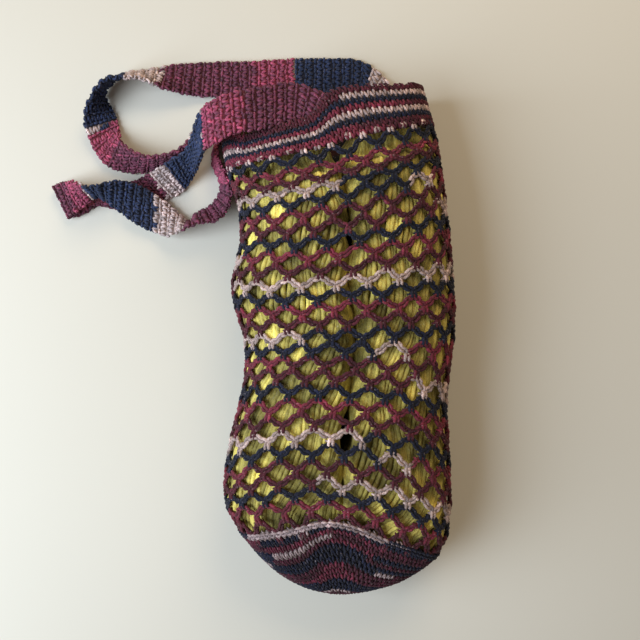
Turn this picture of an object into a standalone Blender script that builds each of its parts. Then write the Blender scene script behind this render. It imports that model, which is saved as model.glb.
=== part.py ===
"""A crocheted string bag lying on its back, filled with two skeins of yarn.

The bag is worked from the bottom up: a solid base, a body of open net and a solid band
round the mouth. A flat strap joins two sides of the mouth and lies beside the bag in
loose loops. X runs across the bag, Y along it from base to mouth, and Z up from the
surface that it lies on. The tables are in millimetres from a point near its middle.
"""

import math
from collections import namedtuple

import bmesh
import bpy
import numpy as np

MM = 0.001
NET_ROUNDS = 28  # rounds of chain loops between the base and the band
BAND_END = 30.0  # the mouth's edge, on the same count
LOOPS_AROUND = 14  # diamonds of the net in a round of the model
DIAMOND_ROWS = 19
STEPS_PER_LOOP = 4  # points between two loops where the net meets solid fabric
STRAND_WIDTH = 4.2
FABRIC = 3.0  # thickness of net, band and base
SEAM_GAP = 0.04  # rounds left between neighbouring pieces, about 0.3 mm
BASE_ROUNDS = (-SEAM_GAP, -0.6, -1.2, -1.9, -2.6, -3.3, -4.0, -4.6)
BASE_TIP = 1.2  # how far the closed end stands out in its middle
BAND_ROUNDS = (NET_ROUNDS + SEAM_GAP, 28.5, 29.0, 29.5, BAND_END)
STRAP_THICKNESS = 2.4
STRAP_STEPS = 3  # stations from one fold to the next
STRAP_SHARES = (0.0, 0.33, 0.67, 1.0)  # points across its width
SKEIN_GAP = 3.6  # from the skeins to the fabric beside and above them
SKEIN_SEAT = 0.6  # from the skeins to the fabric that they lie on
SKEIN_PARTING = 2.0  # between the two skeins
SKEIN_SPLIT = 0.52  # where they part, as a share of the bag's width
SKEIN_SIDES = 22
SKEIN_ROWS = 20
SKEIN_LOW, SKEIN_HIGH = -2.7, 27.6
SKEIN_AXIS = 0.47  # height of its middle, as a share of the bag's
SKEIN_SQUARENESS = 3
SKEIN_WIDTH = 1.02  # its width, as a share of its half of the bag's
SKEIN_HEIGHT = 90.0
SKEIN_END, SKEIN_END_ROWS = 0.18, 3  # how far it draws in at its ends, and over what
SKEIN_TWIST = math.radians(70)  # turn of the hank's ridges along its length
SKEIN_RIDGES = 5
SKEIN_RIDGE_DEPTH = 2.4
BOUNDS_SAMPLES = 160
SEATED_BELOW = 0.1  # height under which the fabric lies on the surface
TINY = 1e-6
WAIST = 0.45  # height of a section's widest place
TOP_ROUNDNESS = 2.3  # exponent of a section's upper half: 2 is an ellipse
UNDER_ROUNDNESS = 2.8
MOUTH_UNDER_ROUNDNESS = 3.6  # nearer the mouth the underside lies flatter
UNDER_CHANGE = (24, 29)  # rounds between which the underside's form changes
UNDER_FULLNESS = 1.08  # more than 1 lays the underside flat on the surface
LIP_DIP = 14.0  # how far the strap drags the mouth's upper edge down on its side
LIP_DIP_SHARES = (0, 0.14, 0.43, 0.55)  # across the mouth: it grows, stays and fades
LIP_SAG = 7.0  # how far that edge sags on the other side
LIP_SAG_SHARES = (0.55, 0.9)
LIP_REACH = 2.0  # rounds over which both fade
OUTLINE_SAMPLES = 240
SLOPE_ROUNDS, SLOPE_SHARE = 0.3, 0.008  # reach over which the surface's slope is taken

# Cross-sections of the lying bag. left and right are its sides, top and floor its highest
# and lowest places, and bow how far its middle runs ahead of its sides.
Section = namedtuple("Section", "round left_x left_y right_x right_y top floor bow")
SECTIONS = [
    Section(-5.0, 5, -201, 21, -202, 42, 32, 0),
    Section(-4.0, -11, -198, 38, -200, 49, 20, 3),
    Section(-3.0, -28, -190, 58, -195, 57, 9, 8),
    Section(-2.0, -42, -178, 72, -187, 66, 2, 13),
    Section(-1.0, -53, -164, 81, -179, 75, 0, 18),
    Section(0.0, -62, -150, 88, -170, 82, 0, 22),
    Section(3.0, -70, -124, 95, -141, 92, 0, 23),
    Section(6.0, -66, -90, 94, -99, 97, 0, 17),
    Section(10.0, -55, -42, 92, -53, 99, 0, 9),
    Section(13.0, -55, -16, 97, -9, 100, 0, 2),
    Section(17.0, -64, 22, 96, 35, 99, 0, -4),
    Section(21.0, -58, 59, 92, 81, 96, 0, -8),
    Section(24.0, -60, 83, 88, 114, 91, 0, -8),
    Section(28.0, -68, 109, 84, 140, 84, 0, -6),
    Section(30.0, -73, 134, 76, 173, 78, 0, 0),
    Section(31.0, -75, 146, 72, 189, 76, 0, 0),
]

# Folds of the strap, from its joint on the near side of the mouth to that on the far
# side. a and b are its two edges.
Fold = namedtuple("Fold", "place ax ay az bx by bz")
STRAP_FOLDS = [
    Fold("joint under the near lip", -4, 133, 73.2, 9, 154, 73.4),
    Fold("over the mouth", -19, 137, 72, -17, 163, 73),
    Fold("over the mouth", -40, 130, 77, -41, 158, 79),
    Fold("over the mouth's corner", -57, 127, 79, -59, 154, 82),
    Fold("bend", -69, 122, 77, -73, 149, 79),
    Fold("brow of the bend", -81, 119, 66, -82, 147, 68),
    Fold("falling", -89, 119, 40, -88, 137, 60),
    Fold("falling", -99, 114, 12, -100, 127, 36),
    Fold("landing", -105, 107, 4, -114, 122, 25),
    Fold("landing", -112, 101, 2, -128, 117, 15),
    Fold("flat run to the tip", -128, 93, 2, -141, 113, 5),
    Fold("flat run to the tip", -146, 87, 2, -155, 109, 2),
    Fold("gathered under the crossing", -163, 89, 2, -168, 106, 2),
    Fold("gathered under the crossing", -177, 92, 2, -180, 104, 2),
    Fold("under the tip", -190, 84, 2, -200, 107, 2),
    Fold("tip", -199, 81, 5, -212, 106, 5),
    Fold("over the tip", -192, 84, 9, -202, 108, 10),
    Fold("rising on edge", -182, 92, 11, -187, 105, 26),
    Fold("pinch on edge", -174, 97, 9, -174, 100, 32),
    Fold("opening", -166, 92, 8, -161, 104, 29),
    Fold("opening", -157, 85, 7, -151, 106, 24),
    Fold("flat over the first run", -147, 77, 7, -141, 105, 16),
    Fold("flat over the first run", -131, 69, 6, -130, 99, 9),
    Fold("turning on edge", -117, 66, 14, -118, 90, 4),
    Fold("on edge", -101, 71, 26, -105, 78, 2),
    Fold("leaning", -91, 74, 28, -98, 85, 2),
    Fold("leaning", -81, 75, 27, -90, 89, 2),
    Fold("turn beside the bag", -72, 82, 26, -83, 95, 2),
    Fold("turn beside the bag", -68, 96, 26, -79, 104, 2),
    Fold("on edge beside the bag", -71, 109, 27, -80, 112, 2),
    Fold("on edge beside the mouth", -78, 124, 28, -85, 125, 2),
    Fold("into the hidden bend", -77, 138, 28, -82, 139, 2),
    Fold("hidden bend", -66, 148, 28, -69, 150, 2),
    Fold("hidden bend", -48, 154, 28, -50, 155, 2),
    Fold("hidden bend", -38, 160, 28, -38, 160, 2),
    Fold("hidden bend", -38, 168, 28, -38, 167, 2),
    Fold("hidden bend", -48, 171, 28, -48, 169, 2),
    Fold("back out", -63, 168, 28, -63, 166, 2),
    Fold("back out", -79, 165, 28, -78, 162, 2),
    Fold("on edge by the brow", -91, 156, 28, -89, 152, 2),
    Fold("on edge by the brow", -97, 141, 27, -95, 136, 2),
    Fold("passing under", -105, 131, 26, -108, 126, 2),
    Fold("passing under", -118, 126, 25, -122, 119, 2),
    Fold("lying back", -132, 125, 24, -139, 118, 2),
    Fold("lying back", -146, 131, 20, -156, 118, 2),
    Fold("flat at the left", -157, 142, 11, -171, 124, 4),
    Fold("flat at the left", -160, 153, 3, -181, 139, 6),
    Fold("standing up", -163, 163, 2, -184, 155, 13),
    Fold("standing up", -168, 171, 2, -178, 166, 23),
    Fold("on edge, far left", -172, 179, 2, -169, 176, 29),
    Fold("on edge, far left", -167, 188, 2, -161, 183, 29),
    Fold("falling inward", -155, 196, 2, -149, 184, 27),
    Fold("falling inward", -141, 198, 2, -138, 185, 23),
    Fold("falling inward", -126, 201, 2, -127, 181, 18),
    Fold("flat back run", -108, 204, 2, -110, 178, 10),
    Fold("flat back run", -87, 205, 2, -89, 177, 4),
    Fold("flat back run", -56, 206, 2, -56, 178, 2),
    Fold("flat back run", -16, 208, 2, -16, 180, 2),
    Fold("flat back run", 16, 208, 2, 16, 180, 2),
    Fold("turn to the mouth", 33, 206, 2, 30, 179, 3),
    Fold("turn to the mouth", 47, 196, 4, 35, 172, 4.6),
    Fold("joint inside the far lip", 57, 184, 6, 36, 165, 4.6),
    Fold("joint inside the far lip", 60, 171, 7, 37, 154, 4.6),
]

COLOURS = {
    "base": (0.36, 0.14, 0.22, 1),
    "net_body": (0.20, 0.08, 0.14, 1),
    "rim_band": (0.38, 0.12, 0.20, 1),
    "strap": (0.12, 0.06, 0.12, 1),
    "yarn_skein_left": (0.55, 0.49, 0.12, 1),
    "yarn_skein_right": (0.55, 0.49, 0.12, 1),
}
WOOL_ROUGHNESS = 0.9


def clear_scene():
    for obj in list(bpy.data.objects):
        bpy.data.objects.remove(obj, do_unlink=True)


def smooth_curve(knots, values, at):
    """A cubic through the values, with slopes taken from the neighbours."""
    knots, values = np.asarray(knots, float), np.asarray(values, float)
    slopes = np.gradient(values, knots)
    span = np.clip(np.searchsorted(knots, at, side="right") - 1, 0, len(knots) - 2)
    width = knots[span + 1] - knots[span]
    t = (at - knots[span]) / width
    return (
        (2 * t**3 - 3 * t**2 + 1) * values[span]
        + (t**3 - 2 * t**2 + t) * width * slopes[span]
        + (3 * t**2 - 2 * t**3) * values[span + 1]
        + (t**3 - t**2) * width * slopes[span + 1]
    )


def section_at(count):
    """The section at a place along the bag, counted in rounds."""
    rounds = [row.round for row in SECTIONS]
    found = [smooth_curve(rounds, [row[k] for row in SECTIONS], count) for k in range(1, 8)]
    return Section(count, *found)


def ease(value, start, end):
    """Runs smoothly from 0 at the start to 1 at the end."""
    share = np.clip((value - start) / (end - start), 0, 1)
    return share * share * (3 - 2 * share)


def lip_dip(across, count):
    """How far the mouth's upper side is drawn down, at a share of the way across it."""
    start, full, fading, end = LIP_DIP_SHARES
    dragged = LIP_DIP * ease(across, start, full) * ease(across, end, fading)
    sagging = LIP_SAG * ease(across, *LIP_SAG_SHARES)
    near_edge = np.clip((count - BAND_END + LIP_REACH) / LIP_REACH, 0, 1)
    return (dragged + sagging) * near_edge


def outline(count):
    """The closed outline of one section, from its right side over the top and back under."""
    row = section_at(count)
    angle = np.linspace(0, 2 * math.pi, OUTLINE_SAMPLES + 1)
    over = angle <= math.pi
    change = (MOUTH_UNDER_ROUNDNESS - UNDER_ROUNDNESS) * ease(count, *UNDER_CHANGE)
    power = np.where(over, 2 / TOP_ROUNDNESS, 2 / (UNDER_ROUNDNESS + change))
    cosine, sine = np.cos(angle), np.abs(np.sin(angle))
    across = 0.5 + 0.5 * np.sign(cosine) * np.abs(cosine) ** power
    waist = row.floor + WAIST * (row.top - row.floor)
    depth = UNDER_FULLNESS * (waist - row.floor)
    up = waist + (row.top - waist) * sine**power
    down = np.maximum(max(row.floor, 0), waist - depth * sine**power)
    x = row.left_x + (row.right_x - row.left_x) * across
    y = row.left_y + (row.right_y - row.left_y) * across + row.bow * sine**2
    y = y - np.where(over, lip_dip(across, count) * np.sqrt(sine), 0)
    return np.stack([x, y, np.where(over, up, down)], axis=1)


def around(count, shares):
    """Points at even shares of the way round a section."""
    line = outline(count)
    steps = np.linalg.norm(np.diff(line, axis=0), axis=1)
    along = np.concatenate([[0], np.cumsum(steps)]) / steps.sum()
    shares = np.mod(np.asarray(shares, float), 1.0)
    return np.stack([np.interp(shares, along, line[:, k]) for k in range(3)], axis=1)


def surface(count, shares, depth=0.0):
    """Points of the bag's outer surface, or that far inside it."""
    shares = np.atleast_1d(np.asarray(shares, float))
    here = around(count, shares)
    if not depth:
        return here
    low = max(count - SLOPE_ROUNDS, SECTIONS[0].round)
    high = min(count + SLOPE_ROUNDS, SECTIONS[-1].round)
    along = around(high, shares) - around(low, shares)
    across = around(count, shares + SLOPE_SHARE) - around(count, shares - SLOPE_SHARE)
    inward = np.cross(across, along)
    inward /= np.linalg.norm(inward, axis=1)[:, None]
    return here + inward * depth


def add_solid(name, points, faces):
    """A closed mesh object of its own colour, from points in millimetres."""
    mesh = bpy.data.meshes.new(name)
    mesh.from_pydata((np.asarray(points) * MM).tolist(), [], faces)
    shape = bmesh.new()
    shape.from_mesh(mesh)
    bmesh.ops.recalc_face_normals(shape, faces=shape.faces)
    shape.to_mesh(mesh)
    shape.free()
    mesh.shade_smooth()
    material = bpy.data.materials.new(name)
    material.use_nodes = True
    shader = material.node_tree.nodes["Principled BSDF"]
    shader.inputs["Base Color"].default_value = COLOURS[name]
    shader.inputs["Roughness"].default_value = WOOL_ROUGHNESS
    shader.inputs["Metallic"].default_value = 0.0
    mesh.materials.append(material)
    obj = bpy.data.objects.new(name, mesh)
    bpy.context.scene.collection.objects.link(obj)
    return obj


def ring_faces(start_a, start_b, size):
    """Faces between two closed rings of points."""
    return [
        (start_a + k, start_a + (k + 1) % size, start_b + (k + 1) % size, start_b + k)
        for k in range(size)
    ]


def fabric_tube(name, counts, closed_end):
    """A solid-fabric piece of the bag: an outer and an inner wall joined at the edges."""
    size = LOOPS_AROUND * STEPS_PER_LOOP
    shares = np.arange(size) / size
    outer = [surface(count, shares) for count in counts]
    inner = [surface(count, shares, FABRIC) for count in counts]
    points = np.concatenate(outer + inner)
    rows = len(counts)
    faces = []
    for row in range(rows - 1):
        faces += ring_faces(row * size, (row + 1) * size, size)
        faces += ring_faces((rows + row) * size, (rows + row + 1) * size, size)
    last = (rows - 1) * size
    faces += ring_faces(0, rows * size, size)
    if closed_end:
        poles = [outer[-1].mean(axis=0), inner[-1].mean(axis=0)]
        poles[0][1] -= BASE_TIP
        for pole, start in ((0, last), (1, last + rows * size)):
            tip = len(points)
            points = np.concatenate([points, poles[pole][None]])
            faces += [(start + k, start + (k + 1) % size, tip) for k in range(size)]
    else:
        faces += ring_faces(last, last + rows * size, size)
    return add_solid(name, points, faces)


def make_base():
    return fabric_tube("base", BASE_ROUNDS, True)


def make_rim_band():
    return fabric_tube("rim_band", BAND_ROUNDS, False)


def make_net_body():
    """The net: diamonds in rows, each with a hole through it, and a plain edge at both ends."""
    rows = DIAMOND_ROWS + 1
    counts = np.linspace(0, NET_ROUNDS, rows + 1)
    points, faces = [], []

    def add(spot):
        points.append(spot)
        return len(points) - 1

    def node_share(row, place):
        return (place + 0.5 * (row % 2)) / LOOPS_AROUND

    nodes = {}
    for row, count in enumerate(counts):
        shares = [node_share(row, place) for place in range(LOOPS_AROUND)]
        outside, inside = surface(count, shares), surface(count, shares, FABRIC)
        for place in range(LOOPS_AROUND):
            nodes[row, place] = (add(outside[place]), add(inside[place]))

    def wall(first, second):
        faces.append((first[0], second[0], second[1], first[1]))

    for row in range(1, rows):
        shares = [node_share(row, place + 0.5) for place in range(LOOPS_AROUND)]
        middles = np.stack([surface(counts[row], shares), surface(counts[row], shares, FABRIC)])
        for place in range(LOOPS_AROUND):
            beyond = (place + row % 2) % LOOPS_AROUND
            corners = [
                nodes[row, place],
                nodes[row + 1, beyond],
                nodes[row, (place + 1) % LOOPS_AROUND],
                nodes[row - 1, beyond],
            ]
            spots = np.array([[points[corner[side]] for corner in corners] for side in (0, 1)])
            wide = np.linalg.norm(spots[0, 0] - spots[0, 2]) / 2
            high = np.linalg.norm(spots[0, 1] - spots[0, 3]) / 2
            share = 1 - STRAND_WIDTH / 2 * math.hypot(wide, high) / (wide * high)
            holes = middles[:, place, None] + share * (spots - middles[:, place, None])
            rim = [(add(holes[0, k]), add(holes[1, k])) for k in range(4)]
            for k in range(4):
                after = (k + 1) % 4
                for side in (0, 1):
                    faces.append(
                        (corners[k][side], corners[after][side], rim[after][side], rim[k][side])
                    )
                wall(rim[k], rim[after])

    for row, apex_row in ((0, 1), (rows, rows - 1)):
        size = LOOPS_AROUND * STEPS_PER_LOOP
        shares = np.arange(size) / size + node_share(row, 0)
        outside, inside = surface(counts[row], shares), surface(counts[row], shares, FABRIC)
        edge = [
            nodes[row, k // STEPS_PER_LOOP]
            if k % STEPS_PER_LOOP == 0
            else (add(outside[k]), add(inside[k]))
            for k in range(size)
        ]
        for k in range(size):
            after = edge[(k + 1) % size]
            apex = nodes[apex_row, k // STEPS_PER_LOOP]
            for side in (0, 1):
                faces.append((edge[k][side], after[side], apex[side]))
            wall(edge[k], after)
    return add_solid("net_body", np.array(points), faces)


def strap_edges():
    """The strap's two edges as smooth lines, with the same number of points."""
    knots = np.arange(len(STRAP_FOLDS), dtype=float)
    at = np.linspace(0, len(STRAP_FOLDS) - 1, (len(STRAP_FOLDS) - 1) * STRAP_STEPS + 1)
    lines = []
    for first in (1, 4):
        columns = [[fold[first + k] for fold in STRAP_FOLDS] for k in range(3)]
        lines.append(np.stack([smooth_curve(knots, column, at) for column in columns], axis=1))
    return lines


def make_strap():
    """A flat band of cloth between its two edge lines."""
    edge_a, edge_b = strap_edges()
    middle = (edge_a + edge_b) / 2
    along = np.gradient(middle, axis=0)
    across = edge_b - edge_a
    face = np.cross(along, across)
    face /= np.linalg.norm(face, axis=1)[:, None]
    sides = [
        edge_a + share * across + side * face * STRAP_THICKNESS / 2
        for side, order in ((1, STRAP_SHARES), (-1, STRAP_SHARES[::-1]))
        for share in order
    ]
    rings = np.stack(sides, axis=1)
    rings[:, :, 2] = np.maximum(rings[:, :, 2], 0.0)
    size = rings.shape[1]
    faces = []
    for step in range(len(rings) - 1):
        faces += ring_faces(step * size, (step + 1) * size, size)
    for start in (0, (len(rings) - 1) * size):
        for k in range(size // 2 - 1):
            far = size - 1 - k
            faces.append((start + k, start + k + 1, start + far - 1, start + far))
    return add_solid("strap", rings.reshape(-1, 3), faces)


def inner_bounds(count):
    """The section inside the fabric, flattened to (distance across, height), and its frame."""
    row = section_at(count)
    left = np.array([row.left_x, row.left_y])
    chord = np.array([row.right_x, row.right_y]) - left
    width = np.linalg.norm(chord)
    chord /= width
    shares = np.arange(BOUNDS_SAMPLES) / BOUNDS_SAMPLES
    here = around(count, shares)
    inward = surface(count, shares, 1.0) - here
    flat = np.stack([(here[:, :2] - left) @ chord, here[:, 2]], axis=1)
    turn = np.stack([inward[:, :2] @ chord, inward[:, 2]], axis=1)
    lean = np.maximum(np.linalg.norm(turn, axis=1), 0.5)
    seated = here[:, 2] < SEATED_BELOW
    inset = (FABRIC + np.where(seated, SKEIN_SEAT, SKEIN_GAP)) / lean
    return flat + turn * (inset / lean)[:, None], left, chord, width, row


def reach_in(bounds, centre, direction):
    """How far a ray runs from the centre to the closed line round it."""
    start = bounds - centre
    run = np.roll(start, -1, axis=0) - start
    cross = direction[0] * run[:, 1] - direction[1] * run[:, 0]
    cross = np.where(np.abs(cross) < TINY, TINY, cross)
    distance = (start[:, 0] * run[:, 1] - start[:, 1] * run[:, 0]) / cross
    place = (start[:, 0] * direction[1] - start[:, 1] * direction[0]) / cross
    return distance[(distance > 0) & (place >= -TINY) & (place <= 1 + TINY)].min()


def make_skein(name, is_left):
    """A hank of yarn on one side of the bag, with shallow ridges that turn along it."""
    counts = np.linspace(SKEIN_LOW, SKEIN_HIGH, SKEIN_ROWS)
    points, faces = [], []
    for index, count in enumerate(counts):
        bounds, left, chord, width, row = inner_bounds(count)
        split = SKEIN_SPLIT * width
        low, high = (0, split) if is_left else (split, width)
        half = (high - low) / 2
        centre = np.array([low + half, row.floor + SKEIN_AXIS * (row.top - row.floor)])
        from_end = min(index, SKEIN_ROWS - 1 - index) / SKEIN_END_ROWS
        end_size = math.sqrt(min(1.0, SKEIN_END + (1 - SKEIN_END) * from_end))
        for side in range(SKEIN_SIDES):
            angle = 2 * math.pi * side / SKEIN_SIDES
            direction = np.array([math.cos(angle), math.sin(angle)])
            reach = reach_in(bounds, centre, direction)
            toward_split = direction[0] if is_left else -direction[0]
            if toward_split > TINY:
                reach = min(reach, (half - SKEIN_PARTING / 2) / toward_split)
            upright = direction[1] * 2 * half / SKEIN_HEIGHT
            corner = abs(direction[0]) ** SKEIN_SQUARENESS + abs(upright) ** SKEIN_SQUARENESS
            reach = min(reach, half * SKEIN_WIDTH / corner ** (1 / SKEIN_SQUARENESS))
            turn = SKEIN_TWIST * index / SKEIN_ROWS
            ridge = 0.5 - 0.5 * math.cos(SKEIN_RIDGES * (angle + turn))
            reach = (reach - SKEIN_RIDGE_DEPTH * ridge) * end_size
            across, height = centre + direction * reach
            ahead = row.bow * math.sin(math.pi * np.clip(across / width, 0, 1)) ** 2
            spot = left + chord * across
            points.append((spot[0], spot[1] + ahead, height))
    for index in range(SKEIN_ROWS - 1):
        faces += ring_faces(index * SKEIN_SIDES, (index + 1) * SKEIN_SIDES, SKEIN_SIDES)
    points = np.array(points)
    for ring in (0, SKEIN_ROWS - 1):
        start = ring * SKEIN_SIDES
        tip = len(points)
        cap = points[start : start + SKEIN_SIDES].mean(axis=0)
        points = np.concatenate([points, cap[None]])
        faces += [(start + k, start + (k + 1) % SKEIN_SIDES, tip) for k in range(SKEIN_SIDES)]
    return add_solid(name, points, faces)


def centre_on_origin(objects):
    """Moves every piece so that the middle of the whole footprint is at the origin."""
    spots = np.concatenate([[tuple(v.co) for v in obj.data.vertices] for obj in objects])
    middle = (spots.min(axis=0) + spots.max(axis=0)) / 2
    for obj in objects:
        obj.location = (-middle[0], -middle[1], -spots[:, 2].min())


def main():
    clear_scene()
    pieces = [
        make_base(),
        make_net_body(),
        make_rim_band(),
        make_strap(),
        make_skein("yarn_skein_left", True),
        make_skein("yarn_skein_right", False),
    ]
    centre_on_origin(pieces)


main()
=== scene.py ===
"""Looks of a crocheted string bag that lies on its back, filled with two hanks of yarn.

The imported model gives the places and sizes. Every visible surface is worked in yarn: the
net in chain stitches, the base, the band and the strap in single crochet, and the filling
as wound strands. The tables are in millimetres from a point near the bag's middle, and
the rows of work are counted in net rounds from the edge of the base.
"""

import math
from collections import namedtuple
from functools import partial

import bpy
import numpy as np
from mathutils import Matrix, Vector
from mathutils.kdtree import KDTree

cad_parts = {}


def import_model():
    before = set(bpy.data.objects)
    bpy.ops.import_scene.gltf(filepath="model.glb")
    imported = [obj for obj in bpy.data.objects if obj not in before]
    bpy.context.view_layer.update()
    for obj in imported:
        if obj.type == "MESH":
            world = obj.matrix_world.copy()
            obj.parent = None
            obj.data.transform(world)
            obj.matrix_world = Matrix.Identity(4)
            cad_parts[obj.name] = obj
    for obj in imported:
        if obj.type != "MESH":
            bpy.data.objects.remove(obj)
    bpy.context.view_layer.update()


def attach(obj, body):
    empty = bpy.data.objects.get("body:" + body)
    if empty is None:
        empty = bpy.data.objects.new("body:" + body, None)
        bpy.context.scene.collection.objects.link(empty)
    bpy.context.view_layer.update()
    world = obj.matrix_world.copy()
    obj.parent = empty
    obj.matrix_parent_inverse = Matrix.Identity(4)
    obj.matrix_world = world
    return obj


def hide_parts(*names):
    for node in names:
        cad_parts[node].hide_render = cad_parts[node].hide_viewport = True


MM = 0.001
TABLE_ORIGIN = np.array([57.81, -3.44, 0.0])  # the tables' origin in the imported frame

# The bag, as it was packed.
BASE_POLE, NET_ROUNDS, BAND_END, MOUTH_END = -5.0, 28, 30.0, 31.0
WAIST = 0.45  # height of a section's widest place
TOP_ROUNDNESS = 2.3  # exponent of a section's upper half: 2 is an ellipse
UNDER_ROUNDNESS, MOUTH_GAIN = 2.8, 0.8  # the same below, and what it gains at the mouth
GAIN_ROUNDS = (24, 29)
UNDER_FULLNESS = 1.08  # more than 1 lays the underside flat on the surface
LIP_DIP, LIP_SAG = 14.0, 7.0  # how far the mouth's upper edge is dragged down, and sags
LIP_DIP_SHARES, LIP_SAG_SHARES = (0, 0.14, 0.43, 0.55), (0.55, 0.9)  # across the mouth
LIP_REACH = 2.0  # rounds over which both fade
SKEIN_SPLIT, SKEIN_AXIS = 0.52, 0.47  # where the hanks part, and how high their middle is
OUTLINE_SAMPLES = 240
SHARES = np.linspace(0, 1, 361)  # where the surfaces are sampled round the bag
SKIN_STEP, ROW_STEP = 0.1, 0.25  # between their lines, in rounds and in rows

Section = namedtuple("Section", "round left_x left_y right_x right_y top floor bow")
SECTIONS = [
    (-5.0, 5, -201, 21, -202, 42, 32, 0),
    (-4.0, -11, -198, 38, -200, 49, 20, 3),
    (-3.0, -28, -190, 58, -195, 57, 9, 8),
    (-2.0, -42, -178, 72, -187, 66, 2, 13),
    (-1.0, -53, -164, 81, -179, 75, 0, 18),
    (0.0, -62, -150, 88, -170, 82, 0, 22),
    (3.0, -70, -124, 95, -141, 92, 0, 23),
    (6.0, -66, -90, 94, -99, 97, 0, 17),
    (10.0, -55, -42, 92, -53, 99, 0, 9),
    (13.0, -55, -16, 97, -9, 100, 0, 2),
    (17.0, -64, 22, 96, 35, 99, 0, -4),
    (21.0, -58, 59, 92, 81, 96, 0, -8),
    (24.0, -60, 83, 88, 114, 91, 0, -8),
    (28.0, -68, 109, 84, 140, 84, 0, -6),
    (30.0, -73, 134, 76, 173, 78, 0, 0),
    (31.0, -75, 146, 72, 189, 76, 0, 0),
]

# The strap's folds, from its joint on the mouth's near side to that on the far side: x, y
# and z of one edge, then of the other.
STRAP_FOLDS = [
    # over the mouth, from the joint under its near lip
    (-4, 133, 73.2, 9, 154, 73.4), (-19, 137, 72, -17, 163, 73),
    (-40, 130, 77, -41, 158, 79), (-57, 127, 79, -59, 154, 82),
    # the bend over its corner
    (-69, 122, 77, -73, 149, 79), (-81, 119, 66, -82, 147, 68),
    # down, and flat to the tip
    (-89, 119, 40, -88, 137, 60), (-99, 114, 12, -100, 127, 36),
    (-105, 107, 4, -114, 122, 25), (-112, 101, 2, -128, 117, 15),
    (-128, 93, 2, -141, 113, 5), (-146, 87, 2, -155, 109, 2),
    (-163, 89, 2, -168, 106, 2), (-177, 92, 2, -180, 104, 2),
    # the tip, folded over
    (-190, 84, 2, -200, 107, 2), (-199, 81, 5, -212, 106, 5),
    (-192, 84, 9, -202, 108, 10),
    # rising on edge, pinched and opening
    (-182, 92, 11, -187, 105, 26), (-174, 97, 9, -174, 100, 32),
    (-166, 92, 8, -161, 104, 29), (-157, 85, 7, -151, 106, 24),
    # flat over the first run
    (-147, 77, 7, -141, 105, 16), (-131, 69, 6, -130, 99, 9),
    # on edge, turning beside the bag
    (-117, 66, 14, -118, 90, 4), (-101, 71, 26, -105, 78, 2),
    (-91, 74, 28, -98, 85, 2), (-81, 75, 27, -90, 89, 2),
    (-72, 82, 26, -83, 95, 2), (-68, 96, 26, -79, 104, 2),
    (-71, 109, 27, -80, 112, 2), (-78, 124, 28, -85, 125, 2),
    # hidden bend under the near run
    (-77, 138, 28, -82, 139, 2), (-66, 148, 28, -69, 150, 2),
    (-48, 154, 28, -50, 155, 2), (-38, 160, 28, -38, 160, 2),
    (-38, 168, 28, -38, 167, 2), (-48, 171, 28, -48, 169, 2),
    # out, under itself and lying back
    (-63, 168, 28, -63, 166, 2), (-79, 165, 28, -78, 162, 2),
    (-91, 156, 28, -89, 152, 2), (-97, 141, 27, -95, 136, 2),
    (-105, 131, 26, -108, 126, 2), (-118, 126, 25, -122, 119, 2),
    (-132, 125, 24, -139, 118, 2), (-146, 131, 20, -156, 118, 2),
    # standing up round the far left
    (-157, 142, 11, -171, 124, 4), (-160, 153, 3, -181, 139, 6),
    (-163, 163, 2, -184, 155, 13), (-168, 171, 2, -178, 166, 23),
    (-172, 179, 2, -169, 176, 29), (-167, 188, 2, -161, 183, 29),
    # falling inward
    (-155, 196, 2, -149, 184, 27), (-141, 198, 2, -138, 185, 23),
    (-126, 201, 2, -127, 181, 18),
    # flat back run
    (-108, 204, 2, -110, 178, 10), (-87, 205, 2, -89, 177, 4),
    (-56, 206, 2, -56, 178, 2), (-16, 208, 2, -16, 180, 2),
    (16, 208, 2, 16, 180, 2),
    # to the joint inside the far lip
    (33, 206, 2, 30, 179, 3), (47, 196, 4, 35, 172, 4.6),
    (57, 184, 6, 36, 165, 4.6), (60, 171, 7, 37, 154, 4.6),
]

# Yarn colours, as they look on screen.
NAVY, BURGUNDY, RASPBERRY = (0.105, 0.127, 0.227), (0.370, 0.145, 0.210), (0.525, 0.195, 0.280)
CREAM, DUSTY_CREAM, LIME = (0.845, 0.745, 0.745), (0.690, 0.600, 0.590), (0.680, 0.632, 0.340)
N, B, R, C, D = NAVY, BURGUNDY, RASPBERRY, CREAM, DUSTY_CREAM  # their signs in the charts

# How the wool looks in each part: its tone is painted shade where close work holds shadow, darkest
# on the sheets under the stitches, and painted light on the hanks above 1; the tint added is the
# nap's painted sheen.
PAINTED_LIGHT_BY_PART = {
    "net": (0.75, (0, 0, 0)),
    "band": (0.79, (0.005, 0.005, 0.015)),
    "base": (0.65, (0.01, 0.01, 0.03)),
    "strap": (1.0, (0.055, 0.08, 0.11)),
    "hank": (1.03, (0, 0, 0)),
    "band ground": (0.5, (0.01, 0.01, 0.01)),
    "base ground": (0.5, (0.02, 0.02, 0.03)),
    "strap ground": (0.7, (0, 0, 0)),
}

# The dye repeats along the yarn. Each repeat starts at one of these rounds, and its
# colours at these shares of it.
REPEAT_STARTS = [-0.45, 2.85, 6.22, 9.67, 13.33, 16.98, 20.6, 24.25, 27.7, 30.97]
DYE_REPEAT = [(0.0, C), (0.13, B), (0.46, R), (0.68, C), (0.695, N)]
NET_DYE = [
    (start + share * (end - start), colour)
    for start, end in zip(REPEAT_STARTS[:-1], REPEAT_STARTS[1:])
    for share, colour in DYE_REPEAT
]
HEATHER = 0.13  # how far pieces of one yarn differ in tone

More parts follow.
